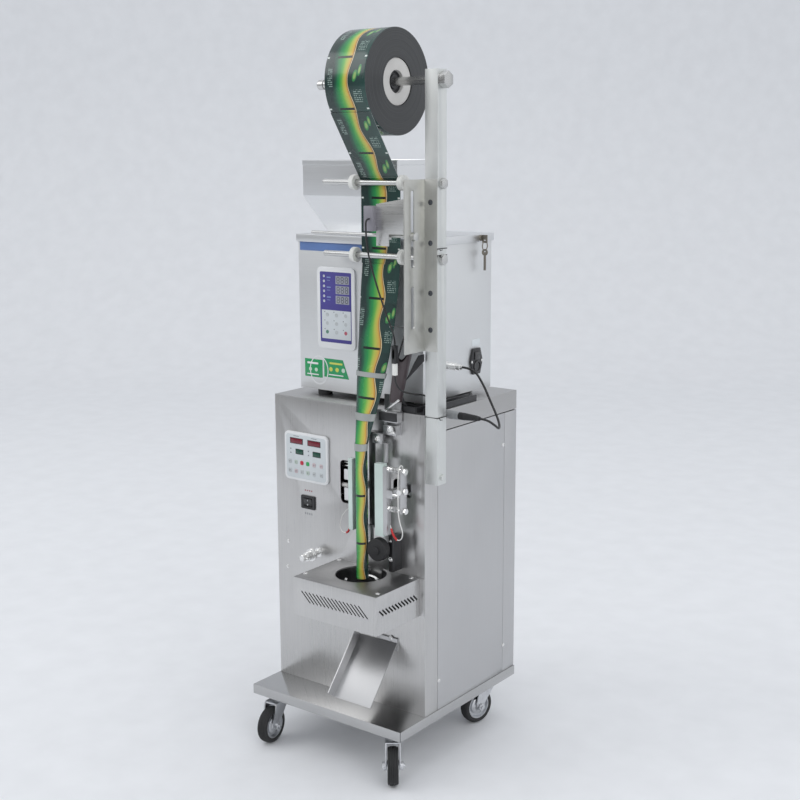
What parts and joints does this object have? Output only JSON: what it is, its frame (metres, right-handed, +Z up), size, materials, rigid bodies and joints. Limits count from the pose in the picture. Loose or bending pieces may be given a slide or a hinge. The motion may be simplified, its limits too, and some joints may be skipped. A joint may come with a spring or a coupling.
{
  "type": "three side seal packing machine",
  "caption": "Wheeled stainless sachet packing machine: weigher and hopper on top, film roll on a post, side heat sealers, pull wheel, guarded cutter and chute in front.",
  "frame": {"origin": "on the floor, under the middle of the machine's box", "axes": "+Z up, -Y is the front with the sealers, +X is the post's side"},
  "size_m": [0.439, 0.413, 1.279],
  "materials": {
    "steel": "brushed",
    "zinc": "zinc plated",
    "tyre": "ribbed rubber",
    "bright": "bright",
    "film": "printed glossy film",
    "card": "card",
    "black": "satin",
    "nylon": "white nylon",
    "pale_metal": "satin",
    "rubber": "matt",
    "panel_grey": "satin",
    "panel_blue": "printed",
    "cord": "matt"
  },
  "bodies": {
    "machine": {"base_deck": "steel", "front_panel": "steel", "back_panel": "steel", "side_panels": "steel", "top_cover": "steel", "caster_plates": "zinc", "film_post": "steel", "roll_shaft": "bright", "guide_rods": "bright", "guide_collars": "nylon", "slotted_angle": "zinc", "sensor_rod": "bright", "mark_sensor": "black", "film_web": "film", "film_tube": "film", "sealer_slide": "bright", "pull_block": "black", "guard_box": "steel", "discharge_chute": "steel", "control_panel": "panel_grey", "switch_bezel": "black", "guard_knob": "bright", "weigher_body": "steel", "weigher_lid": "steel", "weigher_feet": "rubber", "weigher_panel": "panel_blue", "power_inlet": "black", "lid_lock": "bright", "weigher_hopper": "steel", "top_rails": "black", "former_bracket": "black", "former_arm": "black", "product_funnel": "black", "side_connectors": "bright", "side_plug": "black", "side_cord": "cord", "cord_coupler": "black", "sensor_cord": "cord", "rail_cord": "cord"},
    "fork_front_left": {"caster_fork_front_left": "zinc"},
    "wheel_front_left": {"caster_wheel_front_left": "tyre"},
    "fork_front_right": {"caster_fork_front_right": "zinc"},
    "wheel_front_right": {"caster_wheel_front_right": "tyre"},
    "fork_back_left": {"caster_fork_back_left": "zinc"},
    "wheel_back_left": {"caster_wheel_back_left": "tyre"},
    "fork_back_right": {"caster_fork_back_right": "zinc"},
    "wheel_back_right": {"caster_wheel_back_right": "tyre"},
    "film_reel": {"film_roll": "film", "roll_core": "card"},
    "left_sealer": {"left_heater_bar": "pale_metal", "left_heater_carriage": "pale_metal"},
    "right_sealer": {"right_heater_bar": "pale_metal", "right_heater_carriage": "pale_metal"},
    "rocker": {"switch_rocker": "black"},
    "puller": {"pull_wheel": "rubber"}
  },
  "joints": [
    {"name": "swivel_front_left", "type": "hinge", "parent": "machine", "child": "fork_front_left", "pos_m": [-0.152, -0.13, 0.076], "axis": [0, 0, 1], "continuous": true},
    {"name": "roll_front_left", "type": "hinge", "parent": "fork_front_left", "child": "wheel_front_left", "pos_m": [-0.14883, -0.15581, 0.0335], "axis": [0.9925, 0.1219, 0], "continuous": true},
    {"name": "swivel_front_right", "type": "hinge", "parent": "machine", "child": "fork_front_right", "pos_m": [0.116, -0.13, 0.076], "axis": [0, 0, 1], "continuous": true},
    {"name": "roll_front_right", "type": "hinge", "parent": "fork_front_right", "child": "wheel_front_right", "pos_m": [0.13201, -0.15049, 0.0335], "axis": [0.788, 0.6157, 0], "continuous": true},
    {"name": "swivel_back_left", "type": "hinge", "parent": "machine", "child": "fork_back_left", "pos_m": [-0.152, 0.1665, 0.076], "axis": [0, 0, 1], "continuous": true},
    {"name": "roll_back_left", "type": "hinge", "parent": "fork_back_left", "child": "wheel_back_left", "pos_m": [-0.14659, 0.14107, 0.0335], "axis": [0.9781, 0.2079, 0], "continuous": true},
    {"name": "swivel_back_right", "type": "hinge", "parent": "machine", "child": "fork_back_right", "pos_m": [0.116, 0.1665, 0.076], "axis": [0, 0, 1], "continuous": true},
    {"name": "roll_back_right", "type": "hinge", "parent": "fork_back_right", "child": "wheel_back_right", "pos_m": [0.10927, 0.14139, 0.0335], "axis": [0.9659, -0.2588, 0], "continuous": true},
    {"name": "reel_spin", "type": "hinge", "parent": "machine", "child": "film_reel", "pos_m": [0.046, -0.069, 1.192], "axis": [1, 0, 0], "continuous": true},
    {"name": "left_sealer_slide", "type": "slide", "parent": "machine", "child": "left_sealer", "axis": [-1, 0, 0], "range_m": [0, 0.008]},
    {"name": "right_sealer_slide", "type": "slide", "parent": "machine", "child": "right_sealer", "axis": [-1, 0, 0], "range_m": [0, 0.015]},
    {"name": "switch_rock", "type": "hinge", "parent": "machine", "child": "rocker", "pos_m": [-0.1105, -0.082, 0.4495], "axis": [1, 0, 0], "range_deg": [-9, 9]},
    {"name": "pull_wheel_spin", "type": "hinge", "parent": "machine", "child": "puller", "pos_m": [0.082, -0.1225, 0.407], "axis": [0, 1, 0], "continuous": true}
  ]
}
